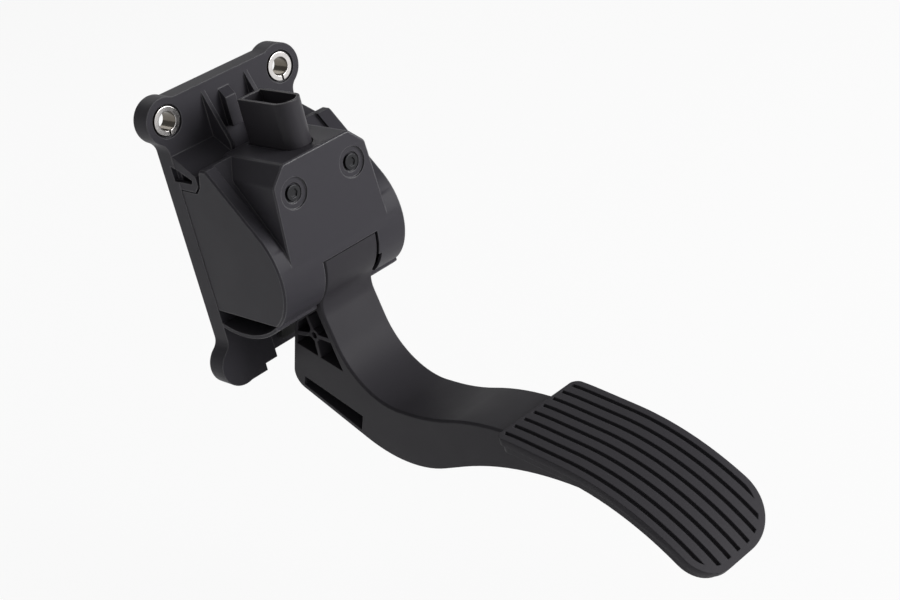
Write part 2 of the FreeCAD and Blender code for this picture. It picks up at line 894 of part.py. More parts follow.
def rounded_loop(half, back, front, radius):
    """Plan of the shroud: square at the back, round corners at the front."""
    return [
        (-half, -front + radius, ("left", radius)),
        (-half + radius, -front),
        (half - radius, -front, ("left", radius)),
        (half, -front + radius),
        (half, -back),
        (-half, -back),
    ]


def terminal_places():
    """Centres of the terminal blades."""
    places = []
    for row in range(int(s.terminal_rows.value)):
        across = s.terminal_spread * row - s.terminal_spread * (s.terminal_rows.value - 1) / 2
        for column in range(int(s.terminal_columns.value)):
            places.append((across, -s.terminal_first - s.terminal_pitch * column))
    return places


def terminal_loops(gap):
    """Sections of the terminal blades, with a gap all round."""
    half_x = s.terminal_thick / 2 + gap
    half_y = s.terminal_wide / 2 + gap
    return [box_loop(x - half_x, y - half_y, x + half_x, y + half_y) for x, y in terminal_places()]


def board_posts():
    """Plan of the four posts that the circuit board rests on."""
    inset = s.case_wall + s.post_radius + s.board_gap
    xs = (-case_half + inset, case_half - inset)
    ys = (case_front + inset, -s.case_back - inset)
    return [(x, y) for x in xs for y in ys]


def make_case():
    """Sensor case with its connector shroud, in one moulding."""
    body = new_body("sensor_case")
    half = case_half
    wall = s.case_wall
    plan = box_loop(-half, case_front, half, -s.case_back)
    pad(body, "case_box", "XY_Plane", [plan], case_floor, case_top - case_floor)
    flange = box_loop(-s.flange_half, case_front, s.flange_half, -s.box_back - s.hook_gap)
    pad(body, "case_flange", "XY_Plane", [flange], case_top - s.flange_depth, s.flange_depth)
    hollow = box_loop(-half + wall, case_front + wall, half - wall, -s.case_back - wall)
    ceiling = case_top - s.flange_depth
    pocket(body, "case_hollow", "XY_Plane", [hollow], case_floor, ceiling - case_floor)
    board_top = case_floor + s.board_rise + s.board_depth
    posts = [circle(x, y, s.post_radius) for x, y in board_posts()]
    pad(body, "board_posts", "XY_Plane", posts, board_top, ceiling - board_top)
    bosses = [circle(x, -s.screw_drop, s.screw_shank + wall) for x in (-s.screw_half, s.screw_half)]
    pad(body, "screw_bosses", "XZ_Plane", bosses, -case_front - s.screw_length, s.screw_length)
    outer = rounded_loop(s.shroud_half, s.shroud_back, s.shroud_front, s.shroud_round)
    pad(body, "shroud", "XY_Plane", [outer], ceiling, s.shroud_top - ceiling)
    skin = s.shroud_wall
    inner = rounded_loop(s.shroud_half - skin, s.shroud_back + skin, s.shroud_front - skin,
                         s.shroud_round - skin)
    pocket(body, "socket", "XY_Plane", [inner], -s.shroud_floor, s.shroud_floor + s.shroud_top)
    pocket(body, "blade_slots", "XY_Plane", terminal_loops(s.fixed_gap), case_floor, REACH)
    holes = [circle(x, -s.screw_drop, s.screw_shank + s.fixed_gap) for x in (-s.screw_half, s.screw_half)]
    pocket(body, "screw_bores", "XZ_Plane", holes, -case_front - s.screw_length, s.screw_length)
    return body


def make_cover():
    """Flat cover that closes the case from below."""
    body = new_body("sensor_cover")
    plan = box_loop(-case_half, case_front, case_half, -s.case_back)
    pad(body, "cover", "XY_Plane", [plan], case_floor - s.cover_depth, s.cover_depth)
    return body


def make_board():
    """Circuit board with holes for the terminal blades."""
    body = new_body("circuit_board")
    inset = s.case_wall + s.board_gap
    half = case_half - inset
    plan = box_loop(-half, case_front + inset, half, -s.case_back - inset)
    start = case_floor + s.board_rise
    pad(body, "board", "XY_Plane", [plan], start, s.board_depth)
    pocket(body, "board_slots", "XY_Plane", terminal_loops(s.fixed_gap), start, s.board_depth)
    return body


def make_terminals():
    """Terminal blades from the board up into the shroud."""
    blades = []
    low = case_floor + s.board_rise - s.board_depth
    for index, loop in enumerate(terminal_loops(ZERO)):
        body = new_body(f"blade_{index}")
        pad(body, f"blade_{index}_pad", "XY_Plane", [loop], low, -s.terminal_tip - low)
        blades.append(body)
    return group("terminal_blades", *blades)


def make_seal():
    """Gasket between the case and the top of the housing."""
    body = new_body("case_seal")
    gap = s.fixed_gap
    width = s.seal_width
    inner = rounded_loop(s.shroud_half + gap, s.shroud_back - gap, s.shroud_front + gap, s.shroud_round + gap)
    outer = rounded_loop(s.shroud_half + width, s.shroud_back - width, s.shroud_front + width,
                         s.shroud_round + width)
    pad(body, "seal", "XY_Plane", [outer, inner], case_top + gap, s.seal_depth)
    return body


# Pivot

def make_axle():
    """Steel axle between the housing bosses."""
    body = new_body("pivot_axle")
    start = left_side + s.housing_wall
    length = right_side - s.cap_depth - start
    pad(body, "axle", "YZ_Plane", [circle(axis_y, axis_z, s.axle_radius)], start, length)
    return body


def make_axle_cap():
    """Plug that closes the axle bore."""
    body = new_body("axle_cap")
    disc = circle(axis_y, axis_z, s.cap_radius)
    pad(body, "cap", "YZ_Plane", [disc], right_side - s.cap_depth, s.cap_depth)
    return body


def make_bush(label, face, inwards):
    """Flanged bush in one end of the hub; inwards is +1 or -1 along X."""
    body = new_body(label)
    bore = circle(axis_y, axis_z, s.axle_radius + s.axle_gap)
    tube_start = face if inwards > 0 else face - s.bush_length
    flange_start = face - s.bush_flange if inwards > 0 else face
    tube = circle(axis_y, axis_z, bush_radius)
    pad(body, f"{label}_tube", "YZ_Plane", [tube, bore], tube_start, s.bush_length)
    lip = circle(axis_y, axis_z, bush_radius + s.bush_lip)
    pad(body, f"{label}_flange", "YZ_Plane", [lip, bore], flange_start, s.bush_flange)
    return body


# Pedal arm

toe_heading = as_size(270) + s.hub_fall
hub_toe = (axis_y - s.hub_face * cosine(s.hub_fall), axis_z - s.hub_face * sine(s.hub_fall))
KNEE = [
    ("right", s.neck_round, s.hub_fall + s.neck_lean),
    ("line", s.neck_length),
    ("right", s.knee_radius, as_size(90) - s.neck_lean),
    ("line", s.flat_length),
    ("right", s.rise_radius, s.rise_angle),
    ("left", s.crest_radius, s.crest_angle),
]
TREAD = [
    ("left", s.crest_radius, s.tread_lead),
    ("line", s.tread_straight),
    ("left", s.tread_radius, s.tread_sweep),
]
knee_corners, tread_start, tread_heading = travel(hub_toe, toe_heading, KNEE)
neck_top = knee_corners[1][:2]
_, tread_tip, tip_heading = travel(tread_start, tread_heading, TREAD)
CORE_TREAD = TREAD[:-1] + [("left", s.tread_radius, s.tread_sweep - s.core_back)]
core_corners, core_tip, core_heading = travel(tread_start, tread_heading, CORE_TREAD)
UNDERSIDE = [
    ("right", s.tip_radius, core_heading - 180 - s.tread_lead),
    ("right", s.belly_radius, s.tread_lead + s.belly_angle),
    ("line", s.belly_length),
    ("left", s.heel_radius, s.belly_angle + s.heel_angle),
    ("line", s.heel_length),
    ("left", s.corner_radius, as_size(90) + s.back_lean - s.heel_angle),
    ("line", s.back_length),
]
under_tip = (core_tip[0] - sine(core_heading) * s.tip_depth, core_tip[1] + cosine(core_heading) * s.tip_depth)
under_corners, back_top, _ = travel(under_tip, core_heading - 180, UNDERSIDE)
heel_end = under_corners[5][:2]
back_corner = under_corners[6][:2]


def arm_loop():
    """Side outline of the arm with its hub, which is level with the drum below the slot's top edge."""
    rise = s.hub_rise
    step = s.slot_drop + s.hub_step
    inner_y = axis_y - root(s.hub_radius * s.hub_radius - step * step)
    outer_y = axis_y - root(s.hub_face * s.hub_face - step * step)
    hub = [
        back_top,
        (axis_y + s.neck_back, axis_z - s.neck_drop),
        (axis_y + s.lug_inner, axis_z - s.lug_drop),
        (axis_y + s.shelf_outer, axis_z - s.lug_drop),
        (axis_y + s.shelf_outer, shelf_z),
        (axis_y + s.shelf_inner, shelf_z),
        (axis_y + s.shelf_inner, hub_top_z),
        (axis_y - s.hub_radius * cosine(rise), hub_top_z, ("left", s.hub_radius)),
        (inner_y, axis_z - step),
        (outer_y, axis_z - step, ("left", s.hub_face)),
    ]
    return knee_corners + core_corners + [core_tip] + under_corners + hub


def front_at(drop):
    """Depth position of the neck's front face at a drop below the pivot."""
    return neck_top[0] - (neck_top[1] - axis_z + drop) * tangent(s.neck_lean)


def back_at(drop):
    """Depth position of the arm's back face at a drop below the pivot."""
    return back_corner[0] - (axis_z - drop - back_corner[1]) * tangent(s.back_lean)


def truss_corners():
    """Corners of the truss opening: front top, front bottom, back bottom, back top."""
    drops = (s.truss_front_top, s.truss_front_bottom, s.truss_back_bottom, s.truss_back_top)
    front = [(front_at(drop) + s.truss_front_rim, axis_z - drop) for drop in drops[:2]]
    back = [(back_at(drop) - s.truss_back_rim, axis_z - drop) for drop in drops[2:]]
    return front + back


def web_loop(start, end):
    """A straight web between two points."""
    along = FreeCAD.Vector(end[0].value - start[0].value, end[1].value - start[1].value, 0).normalize()
    half = s.truss_web / 2
    side = (half * -along.y, half * along.x)
    return [
        (start[0] - side[0], start[1] - side[1]),
        (end[0] - side[0], end[1] - side[1]),
        (end[0] + side[0], end[1] + side[1]),
        (start[0] + side[0], start[1] + side[1]),
    ]


def add_truss(body):
    """Open truss in the left side: an opening, four webs and a small boss."""
    corners = truss_corners()
    floor = arm_left + s.truss_depth
    pocket(body, "truss_opening", "YZ_Plane", [corners], arm_left, s.truss_depth)
    centre = (axis_y - s.truss_hub_back, axis_z - s.truss_hub_drop)
    for index, corner in enumerate(corners):
        after = corners[(index + 1) % len(corners)]
        middle = ((corner[0] + after[0]) / 2, (corner[1] + after[1]) / 2)
        pad(body, f"truss_web_{index}", "YZ_Plane", [web_loop(centre, middle)], arm_left, floor - arm_left)
    pad(body, "truss_boss", "YZ_Plane", [circle(*centre, s.truss_boss)], arm_left, floor - arm_left)
    pocket(body, "truss_hole", "YZ_Plane", [circle(*centre, s.truss_hole)], arm_left, s.truss_depth)


def add_side_pocket(body):
    """Long wedge-shaped pocket above the heel edge of the left side."""
    angle = s.heel_angle

    def along_heel(length, height):
        across = heel_end[0] - cosine(angle) * length - sine(angle) * height
        up = heel_end[1] - sine(angle) * length + cosine(angle) * height
        return across, up

    wedge = [
        along_heel(ZERO, s.pocket_rim),
        along_heel(s.pocket_length, s.pocket_rim),
        along_heel(s.pocket_length, s.pocket_high),
        along_heel(ZERO, s.pocket_low),
    ]
    pocket(body, "side_pocket", "YZ_Plane", [wedge], arm_left, s.pocket_depth)


def make_arm_core():
    """Arm and hub, with truss, side pocket and axle bore."""
    body = new_body("arm_core")
    pad(body, "arm", "YZ_Plane", [arm_loop()], arm_left, s.arm_width)
    sides = (arm_left.value, arm_right.value)

    def on_crest(edge):
        flat = near(edge.BoundBox.XLength, 0) and any(near(edge.CenterOfMass.x, side) for side in sides)
        starts = [(corner[0].value, corner[1].value) for corner in knee_corners + core_corners[:1]]
        ends = starts[1:]
        points = [vertex.Point for vertex in edge.Vertexes]
        for start, end in zip(starts, ends):
            hits = [any(math.hypot(p.y - q[0], p.z - q[1]) < 0.01 for p in points) for q in (start, end)]
            if flat and all(hits):
                return True
        return False

    ease_edges(body, "arm_breaks", "Chamfer", s.arm_break, on_crest)
    add_truss(body)
    add_side_pocket(body)
    return body


def trim_near(label, inset):
    """Upright prism that trims the near end of the tread, moved inwards by inset."""
    half = s.tread_width / 2 - inset
    left = s.tread_centre - half
    right = s.tread_centre + half
    near_y = tread_start[0] - inset
    radius = s.tread_start_round
    loop = [
        (right, near_y - radius, ("left", radius)),
        (right - radius, near_y),
        (left + radius, near_y, ("left", radius)),
        (left, near_y - radius),
        (left, -REACH),
        (right, -REACH),
    ]
    return make_cutter(label, "XY_Plane", [loop], -REACH, REACH)


def trim_far(label, inset):
    """Prism square to the tread's tip that trims its round corners, moved inwards by inset."""
    half = s.tread_width / 2 - inset
    left = s.tread_centre - half
    right = s.tread_centre + half
    tilt = tip_heading - 180
    tip = tread_tip[0] * cosine(tilt) + tread_tip[1] * sine(tilt) + inset
    left_r = s.tread_left_round - inset
    right_r = s.tread_right_round - inset
    loop = [
        (left, tip + left_r, ("left", left_r)),
        (left + left_r, tip),
        (right - right_r, tip, ("left", right_r)),
        (right, tip + right_r),
        (right, REACH),
        (left, REACH),
    ]
    body = make_cutter(label, "XY_Plane", [loop], -REACH, REACH * 2)
    body.Placement.Rotation = FreeCAD.Rotation(FreeCAD.Vector(1, 0, 0), tilt.value)
    body.setExpression("Placement.Rotation.Angle", tilt.text)
    doc.recompute()
    return body


def trim_tread(label, solid, near_inset, far_inset):
    """Cut a solid to the outline of the tread."""
    trimmed = combine("Part::MultiCommon", f"{label}_trimmed", solid, trim_near(f"{label}_near", near_inset))
    return combine("Part::MultiCommon", label, trimmed, trim_far(f"{label}_far", far_inset))


def tread_band(high, low):
    """Section between two levels that follow the tread; high and low are depths below the arm's face."""
    steps = TREAD + [("line", SINK)]
    top, top_end, _ = travel(tread_start, tread_heading, steps, high)
    bottom, bottom_end, _ = travel(tread_start, tread_heading, steps, low)
    return top + [top_end] + flipped(bottom, bottom_end) + [bottom[0][:2]]


def make_tread_slab(label, high, low, inset):
    """Curved slab cut to the outline of the tread."""
    half = s.tread_width / 2
    band = tread_band(high, low)
    block = make_cutter(f"{label}_block", "YZ_Plane", [band], s.tread_centre - half, half * 2)
    return trim_tread(label, block, inset, inset)


def make_arm():
    """Pedal arm with the plate that carries the tread and the bore for the bushes."""
    plate = make_tread_slab("tread_plate", ZERO, s.tread_plate, s.tread_inset)
    whole = combine("Part::MultiFuse", "arm_whole", make_arm_core(), plate)
    bore = make_cutter("hub_bore", "YZ_Plane", [circle(axis_y, axis_z, bush_radius + s.fixed_gap)],
                       arm_left - SINK, s.arm_width + SINK * 2)
    return combine("Part::Cut", "pedal_arm", whole, bore)


def make_groove_comb():
    """Teeth for the lengthwise grooves, joined by a back that clears the tread."""
    body = new_body("groove_comb")
    over = -s.tread_depth - SINK * 2
    back = -s.tread_depth - SINK
    half = s.tread_width / 2
    floor = -s.tread_depth + s.groove_depth
    pad(body, "comb_back", "YZ_Plane", [tread_band(over, back)], s.tread_centre - half, half * 2)
    first = s.tread_centre - s.groove_pitch * (s.groove_count - 1) / 2 - s.groove_width / 2
    tooth = pad(body, "comb_tooth", "YZ_Plane", [tread_band(over, floor)], first, s.groove_width)
    pattern = body.newObject("PartDesign::LinearPattern", "comb_teeth")
    pattern.Originals = [tooth]
    pattern.Direction = (next(item for item in body.Origin.OriginFeatures if item.Role == "X_Axis"), [""])
    span = s.groove_pitch * (s.groove_count - 1)
    pattern.setExpression("Length", span.text)
    pattern.setExpression("Occurrences", s.groove_count.text)
    body.Tip = pattern
    doc.recompute()
    return body


def make_tread():
    """Ribbed tread cover on the arm."""
    slab = make_tread_slab("tread_slab", -s.tread_depth, -s.fixed_gap, ZERO)
    grooves = trim_tread("tread_grooves", make_groove_comb(), s.groove_start, s.groove_rim)
    return combine("Part::Cut", "tread_pad", slab, grooves)


# Return springs, stops and magnets

def make_spring(label, radius, wire, turns):
    """Coil spring of six-sided wire between the cup on the hub and the cap under the abutment."""
    half = wire.value / 2
    low = shelf_z.value + s.seat_floor.value + half
    high = abutment_z.value - s.seat_floor.value - half
    steps = int(turns.value * s.coil_steps.value)
    corners = [math.radians(60 * corner) for corner in range(7)]
    sections = []
    for step in range(steps + 1):
        turn = 2 * math.pi * step / s.coil_steps.value
        rise = (high - low) * step / steps
        points = []
        for corner in corners:
            reach = radius.value + half * math.cos(corner)
            height = rise + half * math.sin(corner)
            points.append(FreeCAD.Vector(reach * math.cos(turn), reach * math.sin(turn), height))
        sections.append(Part.makePolygon(points))
    feature = doc.addObject("Part::Feature", label)
    feature.Shape = Part.makeLoft(sections, True, True)
    feature.Placement.Base = FreeCAD.Vector(s.arm_centre.value, spring_y.value, low)
    return feature


def make_seat(label, floor_z, upwards):
    """Dished seat for both springs; upwards is +1 for the cup and -1 for the cap."""
    body = new_body(label)
    inner = s.spring_radius + s.spring_wire / 2 + s.stop_gap
    outer = inner + s.seat_wall
    dish_start = floor_z if upwards > 0 else floor_z - s.seat_floor
    lip_start = floor_z if upwards > 0 else floor_z - s.seat_lip
    rim = circle(s.arm_centre, spring_y, outer)
    pad(body, f"{label}_dish", "XY_Plane", [rim], dish_start, s.seat_floor)
    pad(body, f"{label}_lip", "XY_Plane", [rim, circle(s.arm_centre, spring_y, inner)], lip_start, s.seat_lip)
    return body


def make_idle_stop():
    """Rubber pad that the lug of the hub rests on."""
    body = new_body("idle_stop")
    top = axis_z - s.lug_drop - s.stop_gap
    block = box_loop(-s.idle_reach, top - s.idle_depth, front_y, top)
    pad(body, "idle_pad", "YZ_Plane", [block], s.arm_centre - s.stop_half, s.stop_half * 2)
    return body


def make_full_stop():
    """Rubber pad that the back of the arm meets at full travel."""
    body = new_body("full_travel_stop")
    low = -s.full_top - s.full_height
    plan = box_loop(s.arm_centre - s.full_half, low, s.arm_centre + s.full_half, -s.full_top)
    pad(body, "full_pad", "XZ_Plane", [plan], s.recess_floor, s.full_depth)
    return body


def magnet_loops(gap):
    """Plan of the two magnets on the carrier."""
    middle = axis_y - (s.carrier_front - s.carrier_back) / 2
    half = s.magnet_side / 2 + gap
    loops = []
    for side in (-1, 1):
        centre = middle + s.magnet_pitch / 2 * side
        loops.append(box_loop(s.arm_centre - half, centre - half, s.arm_centre + half, centre + half))
    return loops


def make_carrier():
    """Magnet carrier on the flat top of the hub."""
    body = new_body("magnet_carrier")
    plan = box_loop(s.arm_centre - s.carrier_half, axis_y - s.carrier_front,
                    s.arm_centre + s.carrier_half, axis_y + s.carrier_back)
    pad(body, "carrier", "XY_Plane", [plan], hub_top_z, s.carrier_height)
    pocket(body, "magnet_seats", "XY_Plane", magnet_loops(s.fixed_gap),
           hub_top_z + s.carrier_height - s.magnet_depth, s.magnet_depth)
    return body


def make_magnets():
    """Two magnets that lie flush in the carrier."""
    blocks = []
    for index, loop in enumerate(magnet_loops(ZERO)):
        body = new_body(f"magnet_{index}")
        pad(body, f"magnet_{index}_pad", "XY_Plane", [loop], hub_top_z + s.carrier_height - s.magnet_depth,
            s.magnet_depth)
        blocks.append(body)
    return group("sensor_magnets", *blocks)


pieces = [
    make_bracket(),
    make_sleeve("left_sleeve", -sleeve_x),
    make_sleeve("right_sleeve", sleeve_x),
    make_housing(),
    make_screws(),
    make_case(),
    make_cover(),
    make_board(),
    make_terminals(),
    make_seal(),
    make_axle(),
    make_axle_cap(),
    make_bush("left_bush", arm_left, 1),
    make_bush("right_bush", arm_right, -1),
    make_arm(),
    make_tread(),
    make_spring("outer_spring", s.spring_radius, s.spring_wire, s.spring_turns),
    make_spring("inner_spring", s.inner_radius, s.inner_wire, s.inner_turns),
    make_seat("spring_cup", shelf_z, 1),
    make_seat("spring_cap", abutment_z, -1),
    make_idle_stop(),
    make_full_stop(),
    make_carrier(),
    make_magnets(),
]

doc.recompute()
failed = [item.Label for item in doc.Objects if {"Invalid", "Error"} & set(item.State)]
if failed:
    raise ValueError(f"failed objects: {failed}")
for piece in pieces:
    if piece.Shape.isNull() or not piece.Shape.isValid():
        raise ValueError(f"{piece.Label} has no sound shape")

os.makedirs("parts", exist_ok=True)
for piece in pieces:
    piece.Shape.exportStep(f"parts/{piece.Label}.step")
    print(piece.Label, len(piece.Shape.Solids), round(piece.Shape.Volume))
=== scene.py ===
import json
import math

import bmesh
import bpy
import numpy as np
from mathutils import Matrix, Quaternion, Vector


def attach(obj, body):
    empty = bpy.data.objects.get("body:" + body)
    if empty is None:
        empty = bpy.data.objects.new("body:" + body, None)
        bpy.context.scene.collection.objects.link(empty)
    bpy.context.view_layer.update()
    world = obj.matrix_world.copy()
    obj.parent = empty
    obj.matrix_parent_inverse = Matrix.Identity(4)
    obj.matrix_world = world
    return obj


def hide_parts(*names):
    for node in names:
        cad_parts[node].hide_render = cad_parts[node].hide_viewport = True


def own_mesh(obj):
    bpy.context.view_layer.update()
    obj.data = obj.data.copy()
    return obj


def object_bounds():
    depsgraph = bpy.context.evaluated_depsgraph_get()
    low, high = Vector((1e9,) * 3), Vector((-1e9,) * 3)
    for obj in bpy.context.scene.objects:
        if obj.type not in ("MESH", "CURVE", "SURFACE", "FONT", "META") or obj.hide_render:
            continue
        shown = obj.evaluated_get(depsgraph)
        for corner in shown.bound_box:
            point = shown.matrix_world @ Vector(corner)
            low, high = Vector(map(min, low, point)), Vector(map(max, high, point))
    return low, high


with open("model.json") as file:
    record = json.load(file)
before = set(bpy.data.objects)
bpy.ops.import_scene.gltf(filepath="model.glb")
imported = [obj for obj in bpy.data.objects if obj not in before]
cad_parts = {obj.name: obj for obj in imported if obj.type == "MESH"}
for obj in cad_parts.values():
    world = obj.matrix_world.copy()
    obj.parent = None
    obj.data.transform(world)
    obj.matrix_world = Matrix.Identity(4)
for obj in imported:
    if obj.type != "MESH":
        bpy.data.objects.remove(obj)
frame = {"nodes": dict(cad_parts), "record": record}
cad_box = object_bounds()

# Lengths are in metres, angles in degrees and lamp power in watts.

# Camera of the photograph, with its lens and sensor in millimetres
CAMERA_PLACE = Vector((-0.3924, -0.6163, 0.2159))
CAMERA_AIM = Vector((0.0768, -0.0281, -0.1344))
CAMERA_ROLL = -13.8
CAMERA_LENS = 70.23
SENSOR_WIDTH = 36.0

# Floor, low enough for the tread at full travel, with a low wall far around it
FLOOR_REACH = 8.0
FLOOR_DROP = 0.06
WALL_HEIGHT = 2.0
ROUND_STEPS = 128
FLOOR_ROUGH = 0.9
PALE = (0.9, 0.9, 0.9, 1.0)
WHITE = (1.0, 1.0, 1.0, 1.0)
WHITE_SHARE = 0.9

# Lamps, placed from the middle of the object, and the strength of the surround
FRONT_PLACE = Vector((0.74, -0.97, 0.33))
FRONT_SIDE = 0.8
FRONT_POWER = 16.0
BACK_PLACE = Vector((0.3, 0.9, 0.9))
BACK_SIDE = 0.7
BACK_POWER = 3.0
AMBIENT = 0.28

# Gloss of moulded faces and of their rounded edges, and the cosine of the turn where it is full
SATIN = 0.12
GLINT = 1.0
GLINT_COSINE = 0.96
EDGE_ROUND = 0.0006

# Grain of moulded faces
GRAIN_SCALE = 2600.0
GRAIN_DETAIL = 3.0
GRAIN_DEPTH = 0.00006
COARSE_GRAIN = 0.25
RUBBER_GRAIN = 0.15
FINE_GRAIN = 0.1

# Patches of roughness: their scale, and how far they go below and above the usual roughness
MOULDED_PATCHES = (60.0, 0.05, 0.06)
METAL_PATCHES = (140.0, 0.04, 0.06)
TURNED_PATCHES = (400.0, 0.08, 0.08)

# Edge rounds of the pieces that have more or less than the usual one
USUAL_ROUND = 0.0003
EDGE_ROUNDS = {
    "mounting_bracket": 0.0004,
    "drum_housing": 0.0004,
    "pedal_arm": 0.0005,
    "tread_pad": 0.00035,
    "terminal_blades": 0.0001,
    "circuit_board": 0.0001,
}
BEVEL_STEPS = 2
SHARP_ANGLE = 32.0

# Points closer than this are one point, and facets that turn by less than this are one flat face
WELD = 1e-6
FLAT_ANGLE = 0.2

# A facet that cuts through an arch has at least these sideways and upward parts in its normal
ARCHED = ("tread_pad",)
SIDE_LEAN = 0.02
UPRIGHT = 0.3

# Facets that run along X share their normals within this reach and turn
SHARED_REACH = 0.004
SHARED_TURN = 20.0
# Their normals have less than this part along X
ALONG_X = 0.3

# Springs of round wire, which get no edge rounds and a mesh of their own; the real springs shorten
# towards their top end as the pedal goes down, which is not shown here
ROUND_WIRE = ("outer_spring", "inner_spring")


# Materials

def new_material(name):
    """A material with one plain Principled shader."""
    material = bpy.data.materials.new(name)
    material.use_nodes = True
    tree = material.node_tree
    return material, tree, tree.nodes["Principled BSDF"]


def add_grain(tree, shader, strength):
    """Fine grain as a bump, over edges that are slightly rounded; returns the node of the edges."""
    place = tree.nodes.new("ShaderNodeTexCoord")
    noise = tree.nodes.new("ShaderNodeTexNoise")
    bump = tree.nodes.new("ShaderNodeBump")
    edge = tree.nodes.new("ShaderNodeBevel")
    edge.inputs["Radius"].default_value = EDGE_ROUND
    noise.inputs["Scale"].default_value = GRAIN_SCALE
    noise.inputs["Detail"].default_value = GRAIN_DETAIL
    bump.inputs["Strength"].default_value = strength
    bump.inputs["Distance"].default_value = GRAIN_DEPTH
    tree.links.new(place.outputs["Object"], noise.inputs["Vector"])
    tree.links.new(noise.outputs["Fac"], bump.inputs["Height"])
    tree.links.new(edge.outputs["Normal"], bump.inputs["Normal"])
    tree.links.new(bump.outputs["Normal"], shader.inputs["Normal"])
    return edge


def add_glints(tree, shader, edge):
    """Raise the gloss where an edge is rounded, so that it catches the lamps."""
    surface = tree.nodes.new("ShaderNodeNewGeometry")
    turn = tree.nodes.new("ShaderNodeVectorMath")
    turn.operation = "DOT_PRODUCT"
    span = tree.nodes.new("ShaderNodeMapRange")
    span.inputs["From Min"].default_value = 1.0
    span.inputs["From Max"].default_value = GLINT_COSINE
    span.inputs["To Min"].default_value = SATIN
    span.inputs["To Max"].default_value = GLINT
    tree.links.new(edge.outputs["Normal"], turn.inputs[0])
    tree.links.new(surface.outputs["Normal"], turn.inputs[1])
    tree.links.new(turn.outputs["Value"], span.inputs["Value"])
    tree.links.new(span.outputs["Result"], shader.inputs["Specular IOR Level"])


def add_patches(tree, shader, rough, patches):
    """Slow change of the roughness from place to place, as on a handled part."""
    scale, below, above = patches
    place = tree.nodes.new("ShaderNodeTexCoord")
    noise = tree.nodes.new("ShaderNodeTexNoise")
    span = tree.nodes.new("ShaderNodeMapRange")
    noise.inputs["Scale"].default_value = scale
    span.inputs["To Min"].default_value = rough - below
    span.inputs["To Max"].default_value = rough + above
    tree.links.new(place.outputs["Object"], noise.inputs["Vector"])
    tree.links.new(noise.outputs["Fac"], span.inputs["Value"])
    tree.links.new(span.outputs["Result"], shader.inputs["Roughness"])


def moulded(name, colour, rough, grain=COARSE_GRAIN, glints=False):
    """Satin black moulding with a grain, and with edges that glint if asked for."""
    material, tree, shader = new_material(name)
    shader.inputs["Base Color"].default_value = colour
    shader.inputs["Specular IOR Level"].default_value = SATIN
    add_patches(tree, shader, rough, MOULDED_PATCHES)
    edge = add_grain(tree, shader, grain)
    if glints:
        add_glints(tree, shader, edge)
    return material


def metal(name, colour, rough):
    """Bare or plated metal."""
    material, tree, shader = new_material(name)
    shader.inputs["Base Color"].default_value = colour
    shader.inputs["Metallic"].default_value = 1.0
    add_patches(tree, shader, rough, METAL_PATCHES)
    return material


def turned(name, face, bore_painted_shade, rough):
    """Turned steel whose end faces, across Y, are bright and whose bore is painted dark brown as
    shade inside it.
    """
    material, tree, shader = new_material(name)
    shader.inputs["Metallic"].default_value = 1.0
    place = tree.nodes.new("ShaderNodeTexCoord")
    parts = tree.nodes.new("ShaderNodeSeparateXYZ")
    size = tree.nodes.new("ShaderNodeMath")
    size.operation = "ABSOLUTE"
    # Faces that do not face along Y, the bore among them, take the dark colour: painted shade
    blend = tree.nodes.new("ShaderNodeMix")
    blend.data_type = "RGBA"
    blend.inputs["A"].default_value = bore_painted_shade
    blend.inputs["B"].default_value = face
    tree.links.new(place.outputs["Normal"], parts.inputs["Vector"])
    tree.links.new(parts.outputs["Y"], size.inputs[0])
    tree.links.new(size.outputs["Value"], blend.inputs["Factor"])
    tree.links.new(blend.outputs["Result"], shader.inputs["Base Color"])
    add_patches(tree, shader, rough, TURNED_PATCHES)
    return material


def plain(name, colour, rough):
    """Even, dull surface of an inner piece."""
    material, _, shader = new_material(name)
    shader.inputs["Base Color"].default_value = colour
    shader.inputs["Roughness"].default_value = rough
    return material


MATERIALS = {
    "bracket_plastic": moulded("bracket_plastic", (0.040, 0.038, 0.045, 1), 0.48, glints=True),
    "housing_plastic": moulded("housing_plastic", (0.042, 0.040, 0.047, 1), 0.44, glints=True),
    "connector_plastic": moulded(
        "connector_plastic", (0.036, 0.034, 0.039, 1), 0.38, FINE_GRAIN, glints=True),
    "arm_plastic": moulded("arm_plastic", (0.035, 0.033, 0.038, 1), 0.50),
    "tread_rubber": moulded("tread_rubber", (0.040, 0.038, 0.043, 1), 0.60, RUBBER_GRAIN),
    "stop_rubber": plain("stop_rubber", (0.012, 0.012, 0.012, 1), 0.8),
    "bush_plastic": plain("bush_plastic", (0.62, 0.60, 0.54, 1), 0.5),
    # The second, dark brown colour of the sleeve steel is painted shade in its bore
    "sleeve_steel": turned("sleeve_steel", (0.58, 0.56, 0.55, 1), (0.13, 0.115, 0.095, 1), 0.2),
    "axle_steel": metal("axle_steel", (0.6, 0.6, 0.6, 1), 0.25),
    "spring_steel": metal("spring_steel", (0.3, 0.3, 0.31, 1), 0.4),
    "black_screw": metal("black_screw", (0.035, 0.035, 0.037, 1), 0.28),
    "terminal_tin": metal("terminal_tin", (0.75, 0.75, 0.73, 1), 0.3),
    "board_laminate": plain("board_laminate", (0.02, 0.13, 0.05, 1), 0.5),
    "magnet_ferrite": plain("magnet_ferrite", (0.08, 0.08, 0.085, 1), 0.6),
}


# Pieces

def leans(face):
    """Whether a facet of an arched surface, which runs along X, is tilted sideways."""
    return abs(face.normal.x) > SIDE_LEAN and face.normal.y < 0 and face.normal.z > UPRIGHT


def even_strips(shape):
    """Divide again the strips of an arched surface where long facets cut through the arch."""
    tilted = [face for face in shape.faces if leans(face)]
    strips = bmesh.ops.dissolve_faces(shape, faces=tilted, use_verts=False)["region"]
    bmesh.ops.triangulate(shape, faces=strips, ngon_method="BEAUTY")


